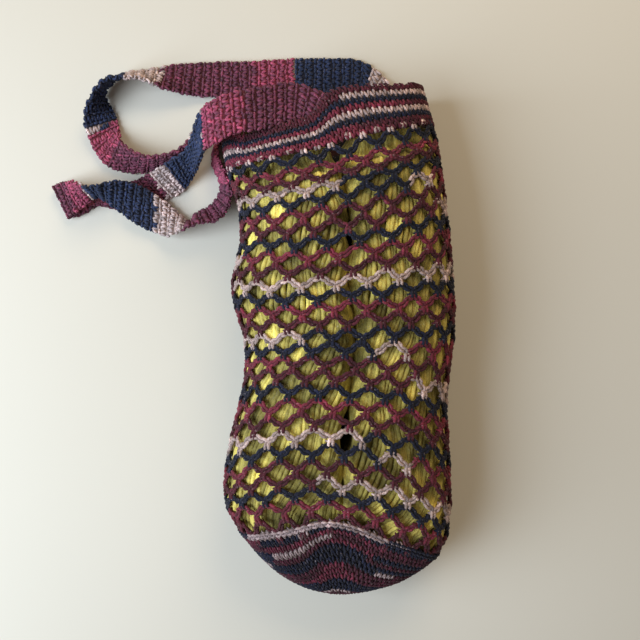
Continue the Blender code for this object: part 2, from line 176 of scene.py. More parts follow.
# Colours along the strap, by the number of the fold at which each starts.
STRAP_DYE = [
    (0.0, B), (2.6, R), (4.9, D), (5.0, N), (8.45, D),
    (9.55, B), (16.2, R), (17.3, D), (17.5, N), (22.05, D),
    (23.75, B), (28.5, R), (31.7, D), (31.9, N), (39.9, D),
    (40.4, B), (44.9, R), (46.5, D), (46.55, N), (50.9, D),
    (53.1, B), (56.1, R), (56.84, D), (56.9, N), (59.6, D),
    (61.2, B),
]

# Colours of the band's rows from its lower edge up, by the share of the way round (0 at
# the right side, 0.5 at the left) at which each starts.
BAND_STRIPES = [
    ((0, B), (0.15, R), (0.45, B), (0.8, N)),
    ((0, B), (0.2, R), (0.62, N)),
    ((0, N), (0.5, N), (0.9, C)),
    ((0, C), (0.51, B)),
    ((0, B), (0.1, R), (0.7, N)),
    ((0, N), (0.96, C)),
    ((0, C), (0.215, B), (0.7, R)),
    ((0, B), (0.4, R), (0.6, N)),
]

# Shares of the way round, and the rounds at which the band starts and ends there.
BAND_EDGES = [
    (0, 28.1, 30.05), (0.08, 28.13, 30.15), (0.15, 28.17, 30.15), (0.2, 28.15, 30.1),
    (0.25, 28.05, 30.1), (0.3, 28.0, 30.13), (0.6, 28.0, 30.1), (0.9, 28.0, 30.0),
    (1, 28.1, 30.05),
]
# Colours of the band's hooks and of the chain along the base's edge, likewise.
HOOK_STRIPES = ((0, N), (0.05, C), (0.55, N))
CHAIN_STRIPES = ((0, N), (0.155, C), (0.44, N))

# Colours of the base's rows from its edge to the closed end, likewise.
BASE_STRIPES = [
    ((0, N), (0.12, C), (0.45, B), (0.6, R)),
    ((0, N), (0.31, C), (0.33, N), (0.43, R), (0.6, N)),
    ((0, B), (0.16, R), (0.42, B), (0.6, R)),
    ((0, B), (0.265, C), (0.41, N), (0.6, B)),
    ((0, N), (0.19, R), (0.27, B), (0.42, N), (0.6, C)),
    ((0, B), (0.205, N), (0.44, C), (0.6, N)),
    ((0, N), (0.46, B), (0.6, N)),
    ((0, B), (0.1, C), (0.17, N), (0.3, B), (0.6, R)),
    ((0, B), (0.24, R), (0.33, B)),
    ((0, B), (0.21, R), (0.4, B)),
    ((0, B), (0.2, R), (0.33, N), (0.7, C)),
    ((0, N), (0.6, N)),
    ((0, N), (0.7, R)),
    ((0, N), (0.6, B)),
    ((0, B), (0.17, C), (0.34, B)),
    ((0, B), (0.5, N)),
    ((0, B),), ((0, R),), ((0, B),), ((0, B),),
]

# Rows of the base, and the rounds at which each runs: on top at the right, on the ridge in
# the middle and at the left, and underneath.
BASE_LINES = [
    (0, -0.33, 0.08, -0.45, 0.0),
    (3, -1.1, -0.5, -1.45, -0.83),
    (5, -1.75, -1.0, -2.1, -1.39),
    (8, -2.6, -2.05, -2.95, -2.2),
    (11, -3.4, -3.0, -3.6, -3.05),
    (14, -4.1, -3.9, -4.2, -3.9),
    (18, -4.9, -4.9, -4.9, -4.9),
]
BASE_STATIONS = (0, 0.17, 0.265, 0.35, 0.44, 0.5, 0.6, 0.9, 1)  # shares of the way round

# The net.
LOOPS_AROUND = 20
LOOP_PHASE_ROUND, LOOP_PHASE = 17, 0.268  # where one of that round's stems stands
LOOP_SHIFT = 0.42  # loops that each round runs on from the one below it
LOOP_SHIFT_LOW, LOW_ROUNDS = 0.5, 10  # the same in the lowest rounds
STEM_DROP = 0.15  # rounds that a stem's head sits below its round's line
STEM_LENGTH = 0.5
ARCH_RISE, LAST_RISE = 0.80, 1.12  # height in rounds, and that of those below the band
ARCH_STITCHES = 5
ARCH_SAG = 1.22  # more than 1 makes the arms leave the stem flat and then rise
EVEN_FROM, EVEN_SAMPLES = 24.0, 41  # the net's rounds are evenly spaced from here on
EDGE_FADE = 3.0  # rounds over which the net takes up an uneven edge
YARN_RADIUS, CHAIN_RADIUS = 1.0, 1.12  # of one leg of a stitch, solid and in the net
NET_THICKNESS = 1.26  # the net's yarn, worked looser than the solid parts
NET_DEPTH = -1.4  # the arms' middle, from the bag's surface
STEM_UNEVEN = (0.16, 0.005)  # of the stems' heads, in rounds and as a share of the way round
STEM_SIZE = 1.1
UNEVEN_WAVES = ((3, 0.7, 1.0), (7, -1.3, 2.1), (11, 2.2, 3.7))  # by turns, round and seed
NET_PIECES = (("net_lower", 0, 10), ("net_middle", 10, 19), ("net_upper", 19, NET_ROUNDS))
# The band's hooks over the net: place along the loop, reach up into the band, and length.
HOOKS = [(0.0, 0.27, 0.5), (0.45, 0.35, 0.22)]
# The chain along the base's edge.
CHAIN_ROW, CHAIN_STITCHES = -0.1, 84
EDGE_DEPTH, EDGE_SIZE, EDGE_RADIUS = -0.5, 1.5, 0.95

# Solid crochet.
STITCH_WIDTH, FEWEST_STITCHES = 4.3, 5
STITCH_DEPTH = -0.8  # the stitches' middle, from the bag's surface
LEAN, LEAN_SPREAD, HEAD_SPREAD = 0.12, 0.1, 0.06  # in stitches, and in rows
BAND_ROWS, BAND_PHASE = 8, 0.3  # a phase is how far each row is shifted, in stitches
BASE_ROWS, BASE_PHASE = 20, 0.4
POLE_ROW = 18  # the rows from here close the base's end
POLE_DOME, POLE_HOLE = 1.5, 0.05  # in mm, and in rows
SHELL_COLUMNS = 120
SHELL_OUTER, SHELL_INNER = -1.0, -2.6  # the two faces of the sheet under the stitches
STRAP_ROW, STRAP_COLUMNS = 3.7, 7
STRAP_LIFT = 0.45  # from the strap's middle to its stitches'
STRAP_SIZE, BUMP_SIZE = 1.1, 1.05  # of its yarn, on the two faces of a row
DYE_SPREAD = 0.8  # mm by which its stitches change colour early or late
STRAP_SPREAD = (0.4, 0.012)  # unevenness of its stitches, in mm and as a share across it
FOLD_STEPS, ACROSS_STRAP = 12, 5  # points from one fold to the next, and across
STRAP_STATIONS, STRAP_SHEET = 400, 0.6  # the sheet's sections, and half its thickness
SHEET_SHARES = np.linspace(0.02, 0.98, 6)


def clamp01(values):
    return np.clip(values, 0.0, 1.0)


def unit(vectors):
    return vectors / np.maximum(np.linalg.norm(vectors, axis=-1, keepdims=True), 1e-12)


def linear(colour):
    """A screen colour as light."""
    colour = np.asarray(colour, float)
    return np.where(colour <= 0.04045, colour / 12.92, ((colour + 0.055) / 1.055) ** 2.4)


def smooth_curve(knots, values, at):
    """A cubic through the values, with slopes taken from the neighbours."""
    knots, values = np.asarray(knots, float), np.asarray(values, float)
    slopes = np.gradient(values, knots)
    span = np.clip(np.searchsorted(knots, at, side="right") - 1, 0, len(knots) - 2)
    width = knots[span + 1] - knots[span]
    t = (at - knots[span]) / width
    return (
        (2 * t**3 - 3 * t**2 + 1) * values[span]
        + (t**3 - 2 * t**2 + t) * width * slopes[span]
        + (3 * t**2 - 2 * t**3) * values[span + 1]
        + (t**3 - t**2) * width * slopes[span + 1]
    )


def grid(surface, rows, shares):
    """Rows and shares, points and normals on a grid of them."""
    rows, shares = np.meshgrid(rows, shares, indexing="ij")
    return rows, shares, *surface.at(rows, shares)


def pairs(rows, shares):
    return np.stack(np.broadcast_arrays(rows, shares), axis=-1)


def section_at(count):
    """The section at a place along the bag, counted in rounds."""
    rounds, *columns = zip(*SECTIONS)
    return Section(count, *(smooth_curve(rounds, column, count) for column in columns))


def ease(value, start, end):
    """Runs smoothly from 0 at the start to 1 at the end."""
    share = clamp01((value - start) / (end - start))
    return share * share * (3 - 2 * share)


def lip_dip(across, count):
    """How far the mouth's upper side is drawn down, at a share of the way across it."""
    start, full, fading, end = LIP_DIP_SHARES
    dragged = LIP_DIP * ease(across, start, full) * ease(across, end, fading)
    sagging = LIP_SAG * ease(across, *LIP_SAG_SHARES)
    near_edge = clamp01((count - BAND_END + LIP_REACH) / LIP_REACH)
    return (dragged + sagging) * near_edge


def outline(count):
    """A section's closed outline, from its right side over the top and back under."""
    row = section_at(count)
    angle = np.linspace(0, 2 * math.pi, OUTLINE_SAMPLES + 1)
    over = angle <= math.pi
    under = UNDER_ROUNDNESS + MOUTH_GAIN * ease(count, *GAIN_ROUNDS)
    power = np.where(over, 2 / TOP_ROUNDNESS, 2 / under)
    cosine, sine = np.cos(angle), np.abs(np.sin(angle))
    across = 0.5 + 0.5 * np.sign(cosine) * np.abs(cosine) ** power
    waist = row.floor + WAIST * (row.top - row.floor)
    depth = UNDER_FULLNESS * (waist - row.floor)
    up = waist + (row.top - waist) * sine**power
    down = np.maximum(max(row.floor, 0), waist - depth * sine**power)
    x = row.left_x + (row.right_x - row.left_x) * across
    y = row.left_y + (row.right_y - row.left_y) * across + row.bow * sine**2
    y = y - np.where(over, lip_dip(across, count) * np.sqrt(sine), 0)
    return np.stack([x, y, np.where(over, up, down)], axis=1)


def along_line(line, shares):
    """Points at these shares of a line's length."""
    steps = np.linalg.norm(np.diff(line, axis=0), axis=1)
    along = np.concatenate([[0], np.cumsum(steps)]) / steps.sum()
    return np.stack([np.interp(shares, along, line[:, k]) for k in range(3)], axis=1)


class Surface:
    """A smooth surface as a grid of points, looked up by row and by share across."""

    def __init__(self, rows, points, closed=True):
        self.rows, self.points, self.closed = rows, points, closed
        along = np.gradient(points, self.rows, axis=0)
        if closed:
            ring = points[:, :-1]
            across = np.roll(ring, -1, axis=1) - np.roll(ring, 1, axis=1)
            across = np.concatenate([across, across[:, :1]], axis=1)
        else:
            across = np.gradient(points, axis=1)
        self.normals = unit(np.cross(along, across))

    def at(self, row, share):
        """Points and outward normals."""
        if self.closed:
            share = np.mod(share, 1.0)
        row, share = np.broadcast_arrays(np.asarray(row, float), np.asarray(share, float))
        upper = np.clip(np.searchsorted(self.rows, row, side="right"), 1, len(self.rows) - 1)
        i = upper - 1
        t = clamp01((row - self.rows[i]) / (self.rows[upper] - self.rows[i]))[..., None]
        columns = self.points.shape[1] - 1
        place = clamp01(share) * columns
        j = np.minimum(place.astype(int), columns - 1)
        s = (place - j)[..., None]

        def blend(grid):
            low = grid[i, j] * (1 - s) + grid[i, j + 1] * s
            high = grid[upper, j] * (1 - s) + grid[upper, j + 1] * s
            return low * (1 - t) + high * t

        return blend(self.points), unit(blend(self.normals))


def bag_skin():
    """The bag's outer surface, by round and by share of the way round."""
    counts = np.arange(BASE_POLE, MOUTH_END + SKIN_STEP / 2, SKIN_STEP)
    return Surface(counts, np.stack([along_line(outline(at), SHARES) for at in counts]))


def base_counts(row):
    """The rounds at which one of the base's rows runs, at each of SHARES."""
    rows, *lines = zip(*BASE_LINES)
    right, ridge, left, under = (np.interp(row, rows, line) for line in lines)
    sides = (right + under) / 2, (left + under) / 2
    counts = [sides[0], right, ridge, left, left, sides[1], under, under, sides[0]]
    return smooth_curve(BASE_STATIONS, counts, SHARES)


def base_surface(skin):
    """The bag's surface by rows of the base, which count down from 0 at its edge."""
    rows = np.arange(-BASE_ROWS, ROW_STEP / 2, ROW_STEP)
    points = []
    for row in rows:
        ring, _ = skin.at(base_counts(min(-row, POLE_ROW)), SHARES)
        size = clamp01((BASE_ROWS + POLE_HOLE + row) / (BASE_ROWS + POLE_HOLE - POLE_ROW))
        middle = ring[:-1].mean(axis=0)
        dome = np.array([0, -POLE_DOME * (1 - size**2), 0])
        points.append(middle + (ring - middle) * size + dome)
    return Surface(rows, np.stack(points))


def band_counts(row):
    """The rounds at which one of the band's rows runs, at each of SHARES."""
    shares, *edges = zip(*BAND_EDGES)
    lower, upper = (smooth_curve(shares, edge, SHARES) for edge in edges)
    return lower + (upper - lower) * row / BAND_ROWS


def band_surface(skin):
    """The bag's surface by rows of the band, from its lower edge."""
    rows = np.arange(-1, BAND_ROWS + ROW_STEP / 2, ROW_STEP)
    return Surface(rows, np.stack([skin.at(band_counts(row), SHARES)[0] for row in rows]))


def evened(row):
    """A net round's place on the bag: the last rounds are spaced evenly along it."""
    if not EVEN_FROM < row < NET_ROUNDS:
        return row
    counts = np.linspace(EVEN_FROM, NET_ROUNDS, EVEN_SAMPLES)
    way = [section_at(count).left_y + section_at(count).right_y for count in counts]
    share = (row - EVEN_FROM) / (NET_ROUNDS - EVEN_FROM)
    return np.interp(way[0] + share * (way[-1] - way[0]), way, counts)


def net_surface(skin):
    """The bag's surface by net rounds, between the base's edge and the band's."""
    base_edge = base_counts(0)
    band_edge = band_counts(0) - NET_ROUNDS
    rounds = np.arange(-1, MOUTH_END - 1, SKIN_STEP)
    points = []
    for row in rounds:
        near_base = 1 - ease(row, 0, EDGE_FADE)
        near_band = ease(row, NET_ROUNDS - EDGE_FADE, NET_ROUNDS)
        counts = evened(row) + base_edge * near_base + band_edge * near_band
        points.append(skin.at(counts, SHARES)[0])
    return Surface(rounds, np.stack(points))


# Meshes of yarn ---

END_TAPER = 0.5  # of a piece of yarn at its two ends
UV_STEP = 7.3  # mm of texture from one piece of yarn to the next
RUN_REACH = 0.05  # of a stitch: how far off its direction is taken

# A mesh's points and quads, a uv for each corner of a quad and a colour for each point.
Part = namedtuple("Part", "points quads uvs colours")


def tube_faces(tubes, rings, sides):
    """Quads of closed tubes whose points are numbered tube by tube and ring by ring."""
    first = (np.arange(tubes) * rings * sides)[:, None, None]
    ring = (np.arange(rings - 1) * sides)[:, None]
    side = np.arange(sides)
    here = first + ring + side
    beside = first + ring + (side + 1) % sides
    walls = np.stack([here, beside, beside + sides, here + sides], axis=-1).reshape(-1, 4)
    caps = []
    for k in range(1, sides - 1, 2):
        start = np.array([0, k + 2, k + 1, k])
        caps.append(first[:, 0] + start)
        caps.append(first[:, 0] + (rings - 1) * sides + start[::-1])
    return np.concatenate([walls] + caps)


def tubes(paths, normals, radius, colours, sides=6):
    """Yarn along each path, thinner at its two ends, with uvs in mm and turns."""
    count, rings = paths.shape[:2]
    tangent = unit(np.gradient(paths, axis=1))
    up = unit(normals - (normals * tangent).sum(-1, keepdims=True) * tangent)
    aside = np.cross(tangent, up)
    taper = np.ones(rings)
    taper[[0, -1]] = END_TAPER
    angle = 2 * math.pi * np.arange(sides) / sides
    cosine, sine = np.cos(angle)[:, None], np.sin(angle)[:, None]
    spoke = cosine * up[:, :, None] + sine * aside[:, :, None]
    points = paths[:, :, None] + spoke * (radius * taper)[:, None, None]
    steps = np.linalg.norm(np.diff(paths, axis=1), axis=-1)
    along = np.concatenate([np.zeros((count, 1)), np.cumsum(steps, axis=1)], axis=1)
    along = along + UV_STEP * np.arange(count)[:, None]
    walls = np.empty((count, rings - 1, sides, 4, 2))
    walls[..., 0] = np.stack([along[:, :-1]] * 2 + [along[:, 1:]] * 2, axis=-1)[:, :, None]
    turn = np.arange(sides) / sides
    walls[..., 1] = np.stack([turn, turn + 1 / sides, turn + 1 / sides, turn], axis=-1)
    quads = tube_faces(count, rings, sides)
    caps = np.zeros((len(quads) - walls[..., 0, 0].size, 4, 2))
    uvs = np.concatenate([walls.reshape(-1, 4, 2), caps])
    tint = np.broadcast_to(colours[:, :, None], (count, rings, sides, 3))
    return Part(points.reshape(-1, 3), quads, uvs, tint.reshape(-1, 3))


def add_object(name, data):
    obj = bpy.data.objects.new(name, data)
    bpy.context.scene.collection.objects.link(obj)
    return obj


def add_mesh(name, parts, material, kind):
    """A mesh object from its parts, whose points are in millimetres."""
    tone, painted_sheen = PAINTED_LIGHT_BY_PART[kind]
    offsets = np.cumsum([0] + [len(part.points) for part in parts])
    points = np.concatenate([part.points for part in parts]) + TABLE_ORIGIN
    points[:, 2] = np.maximum(points[:, 2], 0)
    quads = np.concatenate([part.quads + offset for part, offset in zip(parts, offsets)])
    uvs = np.concatenate([part.uvs for part in parts])
    colours = np.concatenate([part.colours for part in parts])
    mesh = bpy.data.meshes.new(name)
    mesh.vertices.add(len(points))
    mesh.vertices.foreach_set("co", (points * MM).ravel())
    mesh.loops.add(quads.size)
    mesh.polygons.add(len(quads))
    mesh.loops.foreach_set("vertex_index", quads.ravel())
    mesh.polygons.foreach_set("loop_start", np.arange(0, quads.size, 4))
    mesh.update(calc_edges=True)
    mesh.uv_layers.new(name="yarn").data.foreach_set("uv", uvs.ravel())
    dye = mesh.attributes.new("dye", "FLOAT_COLOR", "POINT")
    # The part's painted light and shade: its colours scaled by its tone, with its painted sheen
    # added.
    colours = linear(colours * tone + np.array(painted_sheen))
    dye.data.foreach_set("color", np.c_[colours, np.ones(len(points))].ravel())
    mesh.validate()
    mesh.shade_smooth()
    mesh.materials.append(material)
    obj = add_object(name, mesh)
    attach(obj, "root")
    return obj


# The legs of stitches: shares of the stitch's length, then millimetres aside and up.
CHAIN_LEG = [
    (-0.3, -0.35, -0.65), (0.1, 0.5, 0.35), (0.5, 1.12, 0.8), (0.9, 0.85, 0.35),
    (1.3, -0.15, -0.65),
]
CHAIN_STAGGER = 0.5  # stitches by which one leg of a chain runs ahead of the other
STEM_LEG = [
    (-0.25, 0.5, -0.8), (0.1, 0.85, 0.6), (0.45, 1.15, 1.1), (0.85, 1.2, 0.7),
    (1.1, 0.95, -0.9),
]
# The two legs of a single crochet lean: one is a short knot, the other a long loop.
KNOT_LEG = [
    (0.05, 0.6, -0.7), (0.3, 0.95, 0.45), (0.65, 1.35, 0.8), (0.95, 1.6, 0.3),
    (1.1, 1.6, -0.8),
]
LOOP_LEG = [
    (-0.25, -0.3, -0.7), (0.05, 0.3, 0.35), (0.4, 0.95, 0.7), (0.75, 1.4, 0.4),
    (1.0, 1.5, -0.7),
]
SINGLE_CROCHET = ((KNOT_LEG, 1), (LOOP_LEG, -1))
# The back of a stitch is a short bump across it.
BUMP_LEG = [
    (-0.05, 0.0, -0.8), (0.15, 0.2, 0.25), (0.5, 0.3, 0.55), (0.85, 0.2, 0.25),
    (1.05, 0.0, -0.8),
]


def stitch_legs(surface, foot, head, leg, depth, size=1.0, face=1, sides=(1, -1), stagger=0):
    """The legs of each stitch that runs from its foot to its head on the surface.

    foot and head are (row, share) pairs. Gives each leg's path and its normals.
    """
    if stagger:
        ahead = stagger * (head - foot)
        near = stitch_legs(surface, foot, head, leg, depth, size, face, sides[:1])
        far = stitch_legs(surface, foot + ahead, head + ahead, leg, depth, size, face, sides[1:])
        return tuple(np.concatenate(pair) for pair in zip(near, far))
    along, aside, lift = np.array(leg).T
    aside, lift, run = aside * size, lift * size, head - foot
    places = foot[:, None] + along[None, :, None] * run[:, None]
    nudge = RUN_REACH * run[:, None]
    spots, normals = surface.at(*np.moveaxis(places, -1, 0))
    ahead, _ = surface.at(*np.moveaxis(places + nudge, -1, 0))
    behind, _ = surface.at(*np.moveaxis(places - nudge, -1, 0))
    sideways = np.cross(unit(ahead - behind), normals)
    raised = spots + face * normals * (depth + lift)[None, :, None]
    paths = [raised + side * aside[None, :, None] * sideways for side in sides]
    return np.concatenate(paths), np.concatenate([face * normals] * len(sides))


# Dye ---


def dyed(runs, position):
    """The colour of the run in which each position along the yarn lies."""
    starts, colours = zip(*runs)
    run = np.clip(np.searchsorted(starts, position, side="right") - 1, 0, len(starts) - 1)
    return np.array(colours)[run]


def heathered(colours, draw, spread=HEATHER):
    """Lighter and darker pieces of the same yarn, one for each tube."""
    tone = np.exp(spread * draw.standard_normal(len(colours)))
    return (colours * tone[:, None])[:, None, :]


# The net ---


def loop_phase(count):
    """The share of the way round at which a round's first stem stands."""
    upper = np.maximum(count, LOW_ROUNDS) - LOOP_PHASE_ROUND
    lower = np.minimum(count - LOW_ROUNDS, 0)
    return LOOP_PHASE + (LOOP_SHIFT * upper + LOOP_SHIFT_LOW * lower) / LOOPS_AROUND


def uneven(count, share, seed):
    """A smooth unevenness of hand work, from -1 to 1."""
    turns = 2 * math.pi * share
    waves = [np.sin(a * turns + b * count + c * seed) for a, b, c in UNEVEN_WAVES]
    return sum(waves) / len(waves)


def stem_place(count, loop):
    """Where a stem's head stands, as (round, share)."""
    share = loop_phase(count) + loop / LOOPS_AROUND
    row = count - STEM_DROP + STEM_UNEVEN[0] * uneven(count, share, 5.0)
    return pairs(row, share + STEM_UNEVEN[1] * uneven(count, share, 1.0))


def arch_places(count, loop, t, rise):
    """Points along a chain arch, from its stem over the next round's to the next."""
    start, end = stem_place(count, loop), stem_place(count, loop + 1)
    peak = stem_place(count + 1, loop) + np.array([rise - 1, 0])
    reach = 1 - np.abs(2 * t - 1)
    foot = np.where((t < 0.5)[..., None], start, end)
    share = foot[..., 1] + (peak[..., 1] - foot[..., 1]) * reach
    return pairs(foot[..., 0] + (peak[..., 0] - foot[..., 0]) * reach**ARCH_SAG, share)


def arch_parts(surface, count, rise, draw):
    """The chain arches of one net round."""
    t = np.arange(ARCH_STITCHES + 1) / ARCH_STITCHES
    loops, t = np.meshgrid(np.arange(LOOPS_AROUND, dtype=float), t, indexing="ij")
    places = arch_places(float(count), loops, t, rise)
    foot, head = places[:, :-1].reshape(-1, 2), places[:, 1:].reshape(-1, 2)
    legs = stitch_legs(
        surface, foot, head, CHAIN_LEG, NET_DEPTH, size=NET_THICKNESS, stagger=CHAIN_STAGGER
    )
    work = count + np.mod((foot + head)[:, 1] / 2, 1.0)
    colours = heathered(np.tile(dyed(NET_DYE, work), (2, 1)), draw)
    return tubes(*legs, CHAIN_RADIUS, colours)


def stem_parts(surface, count, runs, start, draw, loop=0.0, raised=0.0, length=STEM_LENGTH):
    """The stems of one round, in the colours of the runs from its start."""
    head = stem_place(float(count), np.arange(LOOPS_AROUND) + loop)
    head = head + np.array([raised, 0.0])
    foot = head - np.array([length, 0.0])
    legs = stitch_legs(surface, head, foot, STEM_LEG, NET_DEPTH, size=STEM_SIZE)
    colours = dyed(runs, start + np.mod(head[:, 1], 1.0))
    colours = heathered(np.tile(colours, (2, 1)), draw)
    return tubes(*legs, YARN_RADIUS * NET_THICKNESS, colours)


def edge_chain(surface, draw):
    """The chain along the base's edge."""
    share = np.arange(CHAIN_STITCHES + 1) / CHAIN_STITCHES
    places = pairs(CHAIN_ROW, share)
    start, end = places[:-1], places[1:]
    legs = stitch_legs(
        surface, start, end, CHAIN_LEG, EDGE_DEPTH, size=EDGE_SIZE, stagger=CHAIN_STAGGER
    )
    colours = heathered(np.tile(dyed(CHAIN_STRIPES, share[:-1]), (2, 1)), draw)
    return tubes(*legs, YARN_RADIUS * EDGE_RADIUS, colours)


def make_net(surface, material):
    draw = np.random.default_rng(11)
    pieces, knots = [], []
    for name, first, end in NET_PIECES:
        parts = []
        for count in range(first, end):
            rise = LAST_RISE if count == NET_ROUNDS - 1 else ARCH_RISE
            parts.append(arch_parts(surface, count, rise, draw))
            knots.append(stem_parts(surface, count, NET_DYE, count, draw))
        pieces.append(add_mesh(name, parts, material, "net"))
    return pieces, add_mesh("net_knots", knots, material, "net")


# Solid crochet ---


def fabric_shell(name, surface, rows, stripes, material, kind):
    """The sheet under solid crochet's stitches, closed round its edges."""
    shares = np.arange(SHELL_COLUMNS) / SHELL_COLUMNS
    rows, turns, spots, normals = grid(surface, rows, shares)
    outer, inner = spots + normals * SHELL_OUTER, spots + normals * SHELL_INNER
    points = np.concatenate([outer, inner[::-1]])
    index = np.arange(points.size // 3).reshape(-1, SHELL_COLUMNS)
    above = np.roll(index, -1, axis=0)
    beside = [np.roll(line, -1, axis=1) for line in (index, above)]
    quads = np.stack([index, *beside, above], axis=-1)
    place, turns = np.concatenate([rows, rows[::-1]]), np.concatenate([turns, turns])
    uvs = pairs(place * STRAP_ROW, turns).reshape(-1, 2)[quads.reshape(-1, 4)]
    colours = np.stack(
        [dyed(stripes[min(int(abs(row)), len(stripes) - 1)], shares) for row in place[:, 0]]
    )
    part = Part(points.reshape(-1, 3), quads.reshape(-1, 4), uvs, colours.reshape(-1, 3))
    return add_mesh(name, [part], material, kind)


def crochet_row(surface, row, stripes, phase, draw, sides=6):
    """A row of single crochet round the bag, on top of the row below it."""
    columns = max(FEWEST_STITCHES, round(girth(surface, row + 0.5) / STITCH_WIDTH))
    shares = (np.arange(columns) + phase) / columns
    lean = draw.normal(LEAN, LEAN_SPREAD, columns) / columns
    foot = pairs(row, shares)
    head = pairs(row + 1 + draw.normal(0, HEAD_SPREAD, columns), shares + lean)
    colours = dyed(stripes, np.mod(shares, 1.0))
    parts = []
    for leg, side in SINGLE_CROCHET:
        legs = stitch_legs(surface, foot, head, leg, STITCH_DEPTH, sides=(side,))
        parts.append(tubes(*legs, YARN_RADIUS, heathered(colours, draw), sides))
    return parts


def girth(surface, row):
    """The way round the bag along a row, in mm."""
    spots, _ = surface.at(row, SHARES[:-1])
    return np.linalg.norm(spots - np.roll(spots, 1, axis=0), axis=1).sum()


def make_band(band, net, yarn, ground):
    draw = np.random.default_rng(12)
    rows = np.linspace(0, BAND_ROWS, 2 * BAND_ROWS + 1)
    shell = fabric_shell("rim_band_ground", band, rows, BAND_STRIPES, ground, "band ground")
    parts = []
    for row, stripes in enumerate(BAND_STRIPES):
        parts += crochet_row(band, row, stripes, BAND_PHASE * row, draw)
    parts += [stem_parts(net, NET_ROUNDS, HOOK_STRIPES, 0, draw, *hook) for hook in HOOKS]
    return shell, add_mesh("rim_band_stitches", parts, yarn, "band")


def make_base(base, net, yarn, ground):
    draw = np.random.default_rng(13)
    rows = np.linspace(-BASE_ROWS, 0, 2 * BASE_ROWS + 1)
    shell = fabric_shell("base_ground", base, rows, BASE_STRIPES, ground, "base ground")
    parts = [edge_chain(net, draw)]
    for row, stripes in enumerate(BASE_STRIPES):
        parts += crochet_row(base, -row - 1, stripes, BASE_PHASE * row, draw, sides=4)
    return shell, add_mesh("base_stitches", parts, yarn, "base")


# The strap ---


def strap_surface():
    """The strap's middle surface, by distance along it and by share of its width."""
    knots, table = np.arange(len(STRAP_FOLDS), dtype=float), np.array(STRAP_FOLDS)
    at = np.linspace(0, knots[-1], (len(knots) - 1) * FOLD_STEPS + 1)
    curves = np.stack([smooth_curve(knots, column, at) for column in table.T], axis=1)
    edges = curves[:, :3], curves[:, 3:]
    middle = (edges[0] + edges[1]) / 2
    steps = np.linalg.norm(np.diff(middle, axis=0), axis=1)
    length = np.concatenate([[0], np.cumsum(steps)])
    shares = np.linspace(0, 1, ACROSS_STRAP)[None, :, None]
    points = edges[0][:, None] * (1 - shares) + edges[1][:, None] * shares
    return Surface(length, points, closed=False), length, at


def strap_row(surface, place, pitch, face, is_back, dye, draw):
    """One row of the strap on one of its faces: stitches, or the bumps behind them."""
    centres = (np.arange(STRAP_COLUMNS) + 0.5) / STRAP_COLUMNS
    colours = dye(draw.normal(place, DYE_SPREAD, STRAP_COLUMNS))
    half = np.array([0, 0.5 / STRAP_COLUMNS])
    middle = pairs(place, centres)
    middle = middle + draw.normal(0, 1, middle.shape) * np.array(STRAP_SPREAD)
    if is_back:
        work = [(middle - half, middle + half, BUMP_LEG, 1, BUMP_SIZE)]
    else:
        rise = np.array([pitch / 2, 0])
        work = [(middle - rise, middle + rise, *leg, STRAP_SIZE) for leg in SINGLE_CROCHET]
    parts = []
    for foot, head, leg, side, size in work:
        legs = stitch_legs(surface, foot, head, leg, STRAP_LIFT, face=face, sides=(side,))
        parts.append(tubes(*legs, YARN_RADIUS * size, heathered(colours, draw), sides=4))
    return parts


def make_strap(yarn, ground):
    draw = np.random.default_rng(14)
    surface, length, folds = strap_surface()
    rows = int(length[-1] / STRAP_ROW)
    pitch = length[-1] / rows

    def dye(place):
        return dyed(STRAP_DYE, np.interp(place, length, folds))

    pieces = []
    for name, face in (("strap_stitches_upper", 1), ("strap_stitches_lower", -1)):
        parts = []
        for row in range(rows):
            is_back = (row + (face > 0)) % 2
            parts += strap_row(surface, (row + 0.5) * pitch, pitch, face, is_back, dye, draw)
        pieces.append(add_mesh(name, parts, yarn, "strap"))
    return strap_ground(surface, length, dye, ground), pieces


def strap_ground(surface, length, dye, material):
    """The sheet under the strap's stitches."""
    stations = np.linspace(0, length[-1], STRAP_STATIONS)
    _, _, spots, normals = grid(surface, stations, SHEET_SHARES)
    upper, lower = spots + STRAP_SHEET * normals, spots - STRAP_SHEET * normals
    ring = np.concatenate([upper, lower[:, ::-1]], axis=1)
    count, sides = ring.shape[:2]
    quads = tube_faces(1, count, sides)
    colours = dye(np.repeat(stations, sides))
    turns = np.concatenate([SHEET_SHARES, SHEET_SHARES[::-1]])
    uvs = pairs(np.repeat(stations, sides), np.tile(turns, count))[quads]
    part = Part(ring.reshape(-1, 3), quads, uvs, colours)
    return add_mesh("strap_ground", [part], material, "strap ground")


# The hanks ---

HANK_LOW, HANK_HIGH = -3.2, 28.9  # rounds at which they end
HANK_STRANDS = 100  # that show
HANK_DEPTH = 4.4  # from the bag's surface to the strands' middle
HANK_SEAT, SEATED_BELOW = 3.1, 0.1  # the same on the table, and the height that counts as it
LEAST_LEAN = 0.2  # of the bag's surface near its ends, where the depth is measured
HANK_ANGLES, RING_POINTS = 96, 121  # of a section's outline, as drawn and evenly spaced
HANK_ROUNDNESS, PARTED_ROUNDNESS = 3.2, 2.7  # exponents outside, and at the parting
HANK_HALF_HEIGHT, CORNER_REACH = 56, 1.05
# How far the hanks stand apart, by round.
PARTINGS = [
    (-3, 1.2), (3.5, 1.4), (4.6, 6.0), (5.7, 12.0), (6.8, 9.0), (8, 3.5), (10, 1.2),
    (18.5, 1.2), (20.5, 8.0), (22, 1.4), (25.5, 1.6), (27.5, 9.0), (29, 10.0),
]
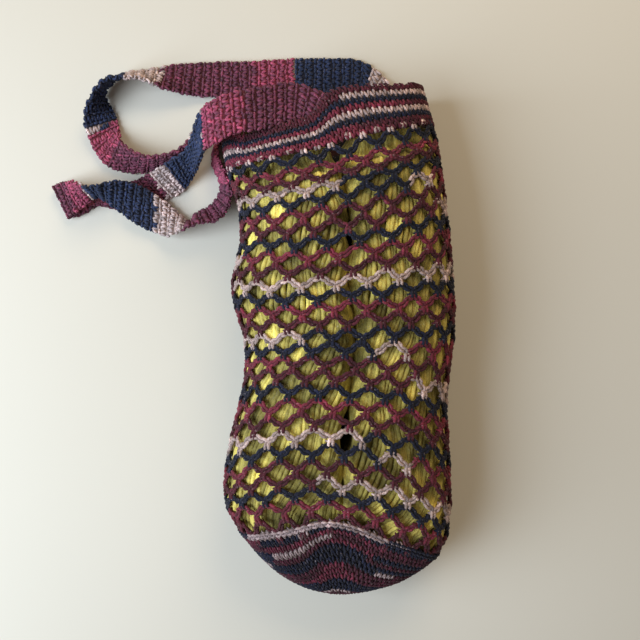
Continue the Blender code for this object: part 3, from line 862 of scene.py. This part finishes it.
# How much deeper the hanks' tops lie, by round, and how that fades down their sides.
LEFT_SINK = [(0.5, 9.0), (3.2, 3.0), (7.0, 3.0), (10.5, 0.6), (25.5, 0.3), (27.5, 8.0)]
RIGHT_SINK = [(0.5, 4.0), (2.5, 1.2), (6.0, 2.6), (10.0, 0.6), (25.5, 0.3), (27.5, 9.0)]
SINK_FADE, SINK_START = 2, 0.9
HANK_TWIST = -0.2  # turns over the whole length
HANK_CURL, CURL_END = 0.07, 7.0  # further turns at the low end, and where they start
HANK_SWAY = 0.013  # of the way round: how far the strands' run wavers
SWAY_WAVES = ((1.0, 4, 0.40), (0.7, 10, -0.85))  # size, half turns and by round
WANDER_WAVES = ((0.13, 0.9, 1.1), (0.11, 2.1, 2.4))  # size in strands, by round and strand
LIFT_WAVE, STRAND_SEAT = (0.5, 0.8, 1.9), -1.2  # the same outwards, in mm
HANK_BULGE = 1.7  # how far the strands swell into the net's holes
HANK_LUMP, LUMP_SHADE = 0.9, 0.36  # lumps in the hank, which catch the light, and the painted light and shade laid on their colour
HOLE_CENTRE = 0.65  # rounds from a net round's line to its holes' middles
HOLE_HEIGHT, HOLE_WIDTH = 0.42, 0.36  # in rounds and in loops
HANK_LOW_END, HANK_HIGH_END = 1.6, 1.4  # rounds over which the ends round off
END_OPEN = 0.004  # of that: how far the last section stays open
HANK_END_STEPS = [0, 0.02, 0.07, 0.16, 0.3, 0.5, 0.75, 1.05, 1.4]
STRAND_RADIUS = 1.85
STRAND_STEP, SURFACE_STEP = 0.48, 0.5  # rounds
STRAND_HEATHER = 0.1
CORE_SIDES, CORE_DEPTH, CORE_SHADE = 64, 1.6, 0.7
ROUND_LENGTH = 11  # mm along the hank, for its texture


def hank_ring(skin, count, is_left):
    """The closed outline of a hank at one section of the bag."""
    row = section_at(count)
    left = np.array([row.left_x, row.left_y])
    chord = np.array([row.right_x, row.right_y]) - left
    width = np.linalg.norm(chord)
    chord /= width
    here, normals = skin.at(count, SHARES[:-1:2])
    flat = np.stack([(here[:, :2] - left) @ chord, here[:, 2]], axis=1)
    turn = -np.stack([normals[:, :2] @ chord, normals[:, 2]], axis=1)
    lean = np.maximum(np.linalg.norm(turn, axis=1), LEAST_LEAN)
    sunk = np.interp(count, *zip(*(LEFT_SINK if is_left else RIGHT_SINK)))
    depth = np.where(here[:, 2] < SEATED_BELOW, HANK_SEAT, HANK_DEPTH)
    depth = depth + sunk * clamp01(SINK_FADE * normals[:, 2] - SINK_START)
    bounds = flat + turn * (depth / lean**2)[:, None]
    split = SKEIN_SPLIT * width
    low, high = (0, split) if is_left else (split, width)
    half = (high - low) / 2
    centre = np.array([low + half, row.floor + SKEIN_AXIS * (row.top - row.floor)])
    parting = np.interp(count, *zip(*PARTINGS))
    spots = []
    for angle in 2 * math.pi * np.arange(HANK_ANGLES) / HANK_ANGLES:
        direction = np.array([math.cos(angle), math.sin(angle)])
        reach = reach_in(bounds, centre, direction)
        toward = direction[0] if is_left else -direction[0]
        if toward > 0:
            reach = min(reach, (half - parting / 2) / toward)
        power = PARTED_ROUNDNESS if toward > 0 else HANK_ROUNDNESS
        upright = abs(direction[1] * half / HANK_HALF_HEIGHT)
        corner = abs(direction[0]) ** power + upright**power
        reach = min(reach, half * CORNER_REACH / corner ** (1 / power))
        spots.append(centre + direction * reach)
    spots = np.array(spots)
    ahead = row.bow * np.sin(math.pi * clamp01(spots[:, 0] / width)) ** 2
    x = left[0] + chord[0] * spots[:, 0]
    y = left[1] + chord[1] * spots[:, 0] + ahead
    ring = np.stack([x, y, spots[:, 1]], axis=1)
    return along_line(np.concatenate([ring, ring[:1]]), np.linspace(0, 1, RING_POINTS))


def reach_in(bounds, centre, direction):
    """How far a ray runs from the centre to the closed line round it."""
    start = bounds - centre
    run = np.roll(start, -1, axis=0) - start
    cross = direction[0] * run[:, 1] - direction[1] * run[:, 0]
    cross = np.where(np.abs(cross) < 1e-9, 1e-9, cross)
    distance = (start[:, 0] * run[:, 1] - start[:, 1] * run[:, 0]) / cross
    place = (start[:, 0] * direction[1] - start[:, 1] * direction[0]) / cross
    return distance[(distance > 0) & (place >= -1e-6) & (place <= 1 + 1e-6)].min()


def hank_surface(skin, is_left):
    counts = hank_counts(SURFACE_STEP)
    rings = [hank_ring(skin, count, is_left) for count in counts]
    rings = pushed_inside(skin, np.stack(rings))
    middle = rings.mean(axis=1, keepdims=True)
    from_end = np.minimum((counts - HANK_LOW) / HANK_LOW_END, (HANK_HIGH - counts) / HANK_HIGH_END)
    size = np.sqrt(1 - (1 - clamp01(END_OPEN + from_end)) ** 2)[:, None, None]
    return Surface(counts, middle + (rings - middle) * size)


def hank_counts(step):
    """The rounds at which a hank is drawn, closer where its ends round off."""
    near = np.array(HANK_END_STEPS)
    middle = np.arange(HANK_LOW + near[-1] + step, HANK_HIGH - near[-1] - step / 2, step)
    return np.concatenate([HANK_LOW + near, middle, HANK_HIGH - near[::-1]])


def pushed_inside(skin, rings):
    """The rings, each point at least the hank's depth under the bag's surface."""
    outside, normals = skin.points[:, ::2].reshape(-1, 3), skin.normals[:, ::2].reshape(-1, 3)
    tree = KDTree(len(outside))
    for index, point in enumerate(outside):
        tree.insert(point, index)
    tree.balance()
    flat = rings.reshape(-1, 3).copy()
    for _ in range(2):
        near = np.array([tree.find(point)[1] for point in flat])
        height = ((flat - outside[near]) * normals[near]).sum(-1)
        depth = np.where(outside[near, 2] < SEATED_BELOW, HANK_SEAT, HANK_DEPTH)
        flat -= np.maximum(height + depth, 0)[:, None] * normals[near]
    return flat.reshape(rings.shape)


def nearest_share(skin, counts, spots):
    """The share of the way round the bag that is nearest to each spot."""
    shares = np.empty(spots.shape[:2])
    for k, count in enumerate(counts):
        ring, _ = skin.at(count, SHARES[:-1])
        away = np.linalg.norm(spots[:, k, None] - ring[None], axis=-1)
        shares[:, k] = SHARES[np.argmin(away, axis=1)]
    return shares


def in_hole(count, share):
    """How near a place is to the middle of one of the net's holes, from 0 to 1."""
    best = np.zeros_like(share)
    for above in (0, 1):
        below = np.floor(count - HOLE_CENTRE) + above
        loops = (share - loop_phase(below)) * LOOPS_AROUND
        aside = (loops - np.round(loops)) / HOLE_WIDTH
        along = (count - below - HOLE_CENTRE) / HOLE_HEIGHT
        best = np.maximum(best, np.exp(-(aside**2) - along**2))
    return best


def make_hank(name, skin, surface, yarn, ground, draw):
    at = hank_counts(STRAND_STEP)
    strand = np.arange(HANK_STRANDS)[:, None]
    turned = HANK_TWIST * (at - HANK_LOW) / (HANK_HIGH - HANK_LOW)
    turned = turned + HANK_CURL * ease(at, CURL_END, HANK_LOW)
    waves = [size * np.sin(at * a + strand * b) for size, a, b in WANDER_WAVES]
    share = (strand + sum(waves)) / HANK_STRANDS
    waves = [size * np.sin(a * math.pi * share + b * at) for size, a, b in SWAY_WAVES]
    share = share + turned + HANK_SWAY * sum(waves)
    rows = np.broadcast_to(at, share.shape)
    spots, normals = surface.at(rows, share)
    over = nearest_share(skin, at, spots)
    lump = uneven(rows, over, 4.0)
    lift = HANK_BULGE * in_hole(rows, over) + HANK_LUMP * lump
    size, by_round, by_strand = LIFT_WAVE
    lift = lift + size * np.sin(strand * by_strand + at * by_round) + STRAND_SEAT
    paths = spots + normals * lift[..., None]
    dye = np.tile(LIME, (HANK_STRANDS, 1))
    # Painted light and shade: the lime is lightened on the lumps and darkened between them.
    colours = heathered(dye, draw, STRAND_HEATHER) * (1 + LUMP_SHADE * lump)[..., None]
    strands = tubes(paths, normals, STRAND_RADIUS, colours)
    strands = add_mesh(name + "_strands", [strands], yarn, "hank")
    turns = np.arange(CORE_SIDES) / CORE_SIDES
    rows, turns, spots, normals = grid(surface, surface.rows, turns)
    core = (spots - CORE_DEPTH * normals).reshape(-1, 3)
    quads = tube_faces(1, len(surface.rows), CORE_SIDES)
    uvs = pairs(rows * ROUND_LENGTH, turns * CORE_SIDES).reshape(-1, 2)[quads]
    colours = np.tile(np.array(LIME) * CORE_SHADE, (len(core), 1))
    core = Part(core, quads, uvs, colours)
    add_mesh(name + "_core", [core], ground, "hank")
    return strands


# Materials ---


SOFT = {"Sheen Roughness": 0.6, "Specular IOR Level": 0.25}
WOOL = {"Roughness": 0.9, "Sheen Weight": 0.06, **SOFT}
FLECK = {"Scale": 1100, "Detail": 3, "Roughness": 0.7}  # single fibres
FLECK_RANGE = {"From Min": 0.32, "From Max": 0.7}
LIGHTEST = 1.6  # how much further the dye lightens than it darkens
# Painted glints: a few fibres' colours mixed toward a light grey-pink, standing in for light
# caught on single fibres.
GLINT_FIBRES = {"Scale": 850, "Detail": 1}
GLINT_RANGE = {"From Min": 0.66, "From Max": 0.74, "To Min": 0.0, "To Max": 0.36}
GLINT_COLOUR = (0.50, 0.42, 0.45, 1)
PLY_RELIEF = 0.35  # of the plies' height against that of the fibres
RELIEF_DEPTH = 0.0005
# The pitch of each wool's plies in mm, how far they stand out, and how heathered it is.
WOOLS = {
    "bag_wool": (2.6, 0.5, 0.5),
    "bag_wool_ground": (4.0, 0.5, 0.5),
    "lime_wool": (5.2, 0.8, 0.2),
    "lime_wool_ground": (3.4, 0.5, 0.2),
}
TABLE = {"Roughness": 0.7, "Sheen Weight": 0.0, **SOFT}
TABLE_GRAIN = {"Scale": 3.0, "Detail": 2}
TABLE_COLOURS = {6: (0.70, 0.69, 0.66, 1), 7: (0.74, 0.73, 0.70, 1)}


def new_material(name):
    material = bpy.data.materials.new(name)
    material.use_nodes = True
    return material, material.node_tree, material.node_tree.nodes["Principled BSDF"]


def fill(tree, node, values):
    """Sets a node's inputs to constants or to the outputs of other nodes."""
    for key, value in values.items():
        if isinstance(value, bpy.types.NodeSocket):
            tree.links.new(value, node.inputs[key])
        else:
            node.inputs[key].default_value = value
    return node.outputs


def add_node(tree, kind, values, **settings):
    node = tree.nodes.new("ShaderNode" + kind)
    for key, value in settings.items():
        setattr(node, key, value)
    return fill(tree, node, values)


def yarn_material(name, ply_pitch, bump, heather):
    """Twisted, heathered wool: the dye darkened and lightened fibre by fibre, with painted glints
    on a few fibres.
    """
    material, tree, shader = new_material(name)
    node = partial(add_node, tree)
    place = node("TexCoord", {})["Object"]
    fleck = node("TexNoise", {"Vector": place, **FLECK})["Fac"]
    span = {"To Min": 1 - heather, "To Max": 1 + LIGHTEST * heather}
    tone = node("MapRange", {"Value": fleck, **FLECK_RANGE, **span})["Result"]
    dye = node("Attribute", {}, attribute_name="dye")["Color"]
    tint = node("VectorMath", {0: dye, "Scale": tone}, operation="SCALE")["Vector"]
    # Painted glints on a few fibres.
    fibre = node("TexNoise", {"Vector": place, **GLINT_FIBRES})["Fac"]
    glint = node("MapRange", {"Value": fibre, **GLINT_RANGE})["Result"]
    glinted = node("Mix", {0: glint, 6: tint, 7: GLINT_COLOUR}, data_type="RGBA")[2]
    yarn = node("SeparateXYZ", {"Vector": node("UVMap", {}, uv_map="yarn")["UV"]})
    along = node("Math", {0: yarn["X"], 1: 2 * math.pi / ply_pitch}, operation="MULTIPLY")[0]
    turn = {0: yarn["Y"], 1: 4 * math.pi, 2: along}
    ply = node("Math", {0: node("Math", turn, operation="MULTIPLY_ADD")[0]}, operation="SINE")
    height = node("Math", {0: ply[0], 1: PLY_RELIEF, 2: fleck}, operation="MULTIPLY_ADD")[0]
    relief = node("Bump", {"Strength": bump, "Distance": RELIEF_DEPTH, "Height": height})
    fill(tree, shader, {"Base Color": glinted, "Normal": relief["Normal"], **WOOL})
    return material


def floor_material():
    material, tree, shader = new_material("pale_table")
    place = add_node(tree, "TexCoord", {})["Object"]
    grain = add_node(tree, "TexNoise", {"Vector": place, **TABLE_GRAIN})["Fac"]
    tone = add_node(tree, "Mix", {0: grain, **TABLE_COLOURS}, data_type="RGBA")[2]
    fill(tree, shader, {"Base Color": tone, **TABLE})
    return material


# Stage ---

CAMERA_HEIGHT, CAMERA_LENS, CAMERA_REACH = 0.525, 36.91, 20
TABLE_CORNERS = [(-3, -3, 0), (3, -3, 0), (3, 3, 0), (-3, 3, 0)]
ROOM = {"Color": (1.0, 0.80, 0.58, 1), "Strength": 0.19}
# Place, size, power and colour.
WINDOW = ((-0.74, -0.16, 0.68), (0.7, 1.0), 13.6, (0.86, 0.96, 1.0))
LAMP = ((0.35, 0.95, 0.80), (0.6, 0.6), 6.2, (1.0, 0.78, 0.50))


def add_camera():
    data = bpy.data.cameras.new("camera")
    data.lens = CAMERA_LENS
    data.clip_end = CAMERA_REACH
    camera = add_object("camera", data)
    camera.location = (TABLE_ORIGIN[0] * MM, TABLE_ORIGIN[1] * MM, CAMERA_HEIGHT)
    bpy.context.scene.camera = camera


def add_light(name, location, size, power, colour):
    data = bpy.data.lights.new(name, "AREA")
    data.shape = "RECTANGLE"
    data.size, data.size_y = size
    data.energy, data.color = power, colour
    light = add_object(name, data)
    light.location = location
    light.rotation_euler = (-Vector(location)).to_track_quat("-Z", "Y").to_euler()


def add_stage():
    mesh = bpy.data.meshes.new("table")
    mesh.from_pydata(TABLE_CORNERS, [], [(0, 1, 2, 3)])
    mesh.materials.append(floor_material())
    table = add_object("table", mesh)
    world = bpy.data.worlds.new("room")
    world.use_nodes = True
    fill(world.node_tree, world.node_tree.nodes["Background"], ROOM)
    bpy.context.scene.world = world
    bpy.context.scene.view_settings.view_transform = "Standard"
    add_light("window", *WINDOW)
    add_light("lamp", *LAMP)


# The whole ---

# The flat sizes of the bag's cloths, in metres.
NET_LENGTHS = [0.105, 0.095, 0.095]


def main():
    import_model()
    add_camera()
    add_stage()
    yarn, ground, lime, lime_ground = (yarn_material(name, *WOOLS[name]) for name in WOOLS)
    skin = bag_skin()
    net = net_surface(skin)
    arches, knots = make_net(net, yarn)
    for piece, length in zip(arches, NET_LENGTHS):
        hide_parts("net_body")
    shell, stitches = make_band(band_surface(skin), net, yarn, ground)
    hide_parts("rim_band")
    shell, stitches = make_base(base_surface(skin), net, yarn, ground)
    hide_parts("base")
    shell, stitches = make_strap(yarn, ground)
    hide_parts("strap")
    draw = np.random.default_rng(15)
    for side, is_left in (("left", True), ("right", False)):
        surface = hank_surface(skin, is_left)
        strands = make_hank("yarn_hank_" + side, skin, surface, lime, lime_ground, draw)
        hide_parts("yarn_skein_" + side)


main()
